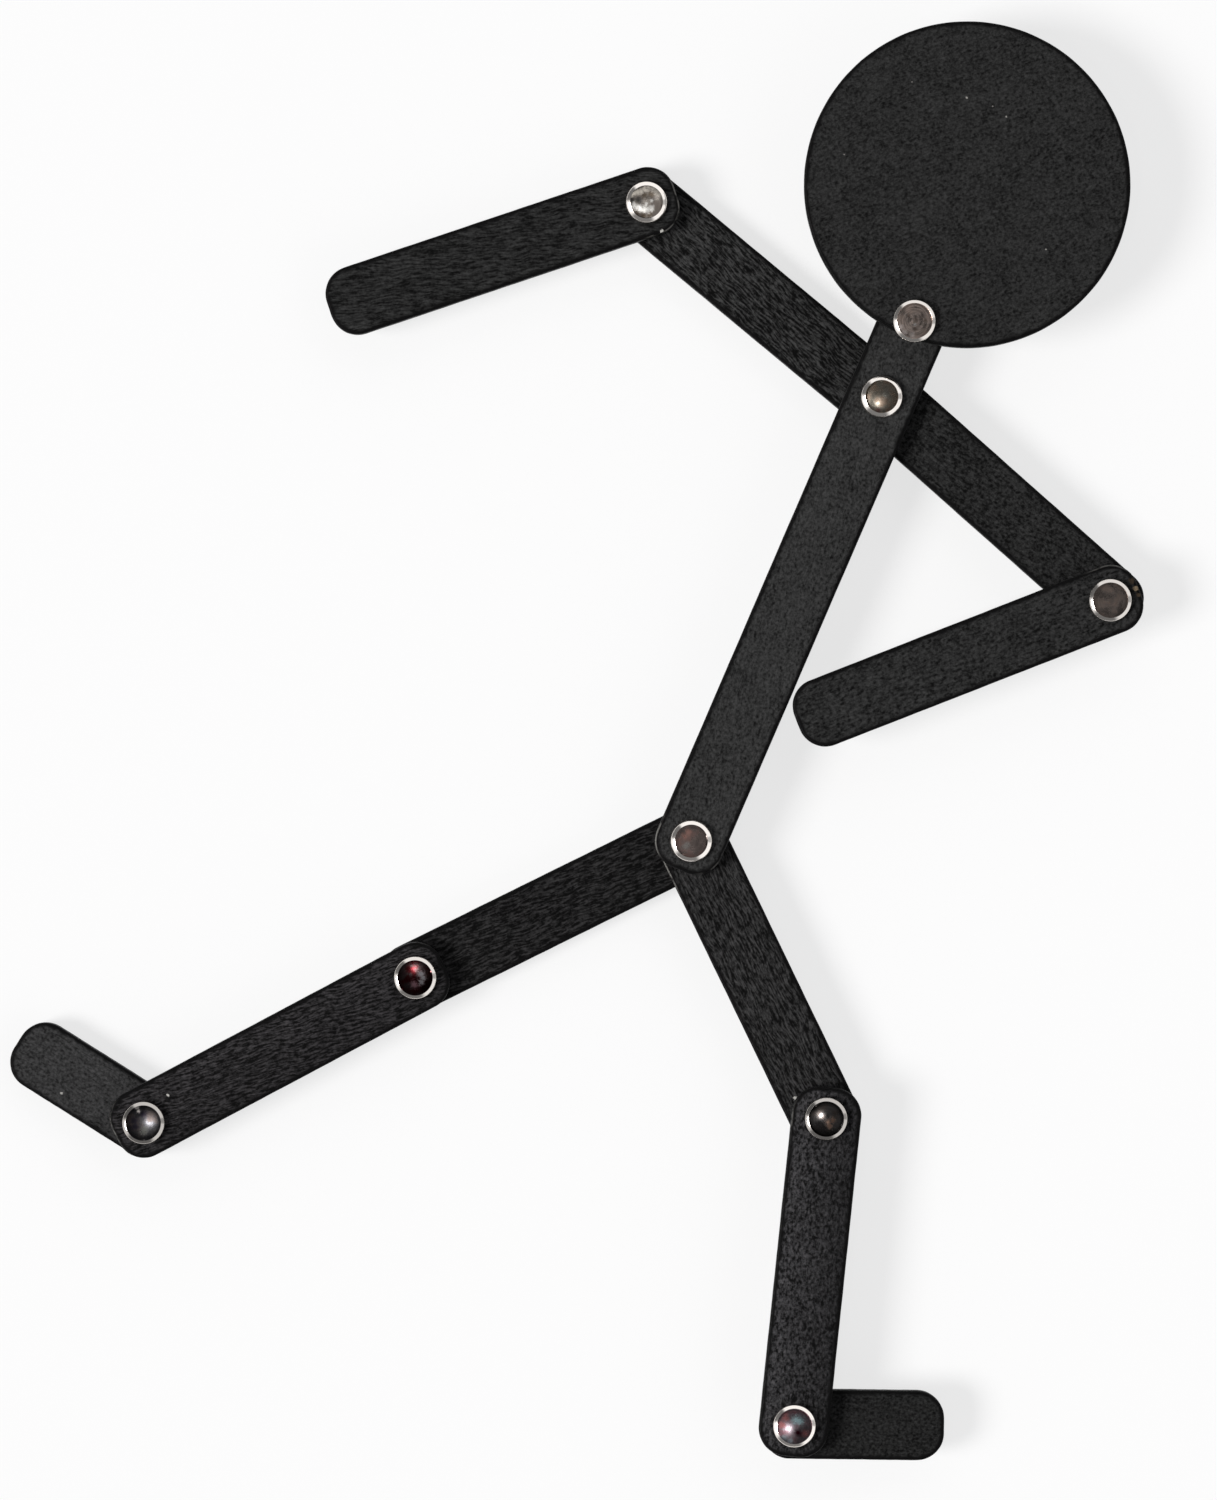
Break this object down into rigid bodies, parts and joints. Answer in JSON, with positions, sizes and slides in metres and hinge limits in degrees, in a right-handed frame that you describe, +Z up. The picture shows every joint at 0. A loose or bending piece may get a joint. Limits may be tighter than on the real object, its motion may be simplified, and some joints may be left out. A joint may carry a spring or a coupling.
{
  "type": "jointed wooden stick figure",
  "caption": "Flat jointed figure of dark-stained wooden strips and a round head, riveted so that the head and limbs swing and stay where they are put.",
  "frame": {"origin": "middle of the lying figure's box, on the surface that it lies on", "axes": "+Z up, out of the figure's front; +Y towards the head's side; +X to the right as seen from above"},
  "size_m": [0.2106, 0.2666, 0.0159],
  "materials": {
    "stained_wood": "charcoal-black stain, satin, with fine open grain and eased edges",
    "nickel_rivet": "nickel-plated steel, polished rim and slightly dull dished centre"
  },
  "bodies": {
    "torso": {"torso": "stained_wood", "neck_rivet": "nickel_rivet", "neck_rivet_cap": "nickel_rivet", "shoulder_rivet": "nickel_rivet", "shoulder_rivet_cap": "nickel_rivet", "hip_rivet": "nickel_rivet", "hip_rivet_cap": "nickel_rivet"},
    "head": {"head": "stained_wood"},
    "left_upper_arm": {"left_upper_arm": "stained_wood", "left_elbow_rivet": "nickel_rivet", "left_elbow_rivet_cap": "nickel_rivet"},
    "left_forearm": {"left_forearm": "stained_wood"},
    "right_upper_arm": {"right_upper_arm": "stained_wood", "right_elbow_rivet": "nickel_rivet", "right_elbow_rivet_cap": "nickel_rivet"},
    "right_forearm": {"right_forearm": "stained_wood"},
    "left_thigh": {"left_thigh": "stained_wood", "left_knee_rivet": "nickel_rivet", "left_knee_rivet_cap": "nickel_rivet"},
    "left_shin": {"left_shin": "stained_wood", "left_ankle_rivet": "nickel_rivet", "left_ankle_rivet_cap": "nickel_rivet"},
    "left_foot": {"left_foot": "stained_wood"},
    "right_thigh": {"right_thigh": "stained_wood", "right_knee_rivet": "nickel_rivet", "right_knee_rivet_cap": "nickel_rivet"},
    "right_shin": {"right_shin": "stained_wood", "right_ankle_rivet": "nickel_rivet", "right_ankle_rivet_cap": "nickel_rivet"},
    "right_foot": {"right_foot": "stained_wood"}
  },
  "joints": [
    {"name": "neck", "type": "hinge", "parent": "torso", "child": "head", "pos_m": [0.06243, 0.07775, 0], "axis": [0, 0, 1], "range_deg": [-76, 72]},
    {"name": "left_shoulder", "type": "hinge", "parent": "torso", "child": "left_upper_arm", "pos_m": [0.05652, 0.06397, 0], "axis": [0, 0, 1], "range_deg": [-167, 70]},
    {"name": "left_elbow", "type": "hinge", "parent": "left_upper_arm", "child": "left_forearm", "pos_m": [0.01304, 0.1002, 0], "axis": [0, 0, -1], "range_deg": [-91, 208]},
    {"name": "right_shoulder", "type": "hinge", "parent": "torso", "child": "right_upper_arm", "pos_m": [0.05652, 0.06397, 0], "axis": [0, 0, 1], "range_deg": [0, 63]},
    {"name": "right_elbow", "type": "hinge", "parent": "right_upper_arm", "child": "right_forearm", "pos_m": [0.09878, 0.02632, 0], "axis": [0, 0, -1], "range_deg": [-271, 0]},
    {"name": "left_hip", "type": "hinge", "parent": "torso", "child": "left_thigh", "pos_m": [0.0213, -0.0182, 0], "axis": [0, 0, 1], "range_deg": [-78, 65]},
    {"name": "left_knee", "type": "hinge", "parent": "left_thigh", "child": "left_shin", "pos_m": [-0.02984, -0.04359, 0], "axis": [0, 0, -1], "range_deg": [-137, 160]},
    {"name": "left_ankle", "type": "hinge", "parent": "left_shin", "child": "left_foot", "pos_m": [-0.08021, -0.07049, 0], "axis": [0, 0, 1], "continuous": true},
    {"name": "right_hip", "type": "hinge", "parent": "torso", "child": "right_thigh", "pos_m": [0.0213, -0.0182, 0], "axis": [0, 0, 1], "range_deg": [-65, 84]},
    {"name": "right_knee", "type": "hinge", "parent": "right_thigh", "child": "right_shin", "pos_m": [0.04625, -0.06957, 0], "axis": [0, 0, -1], "range_deg": [-176, 111]},
    {"name": "right_ankle", "type": "hinge", "parent": "right_shin", "child": "right_foot", "pos_m": [0.04038, -0.12637, 0], "axis": [0, 0, 1], "continuous": true}
  ]
}
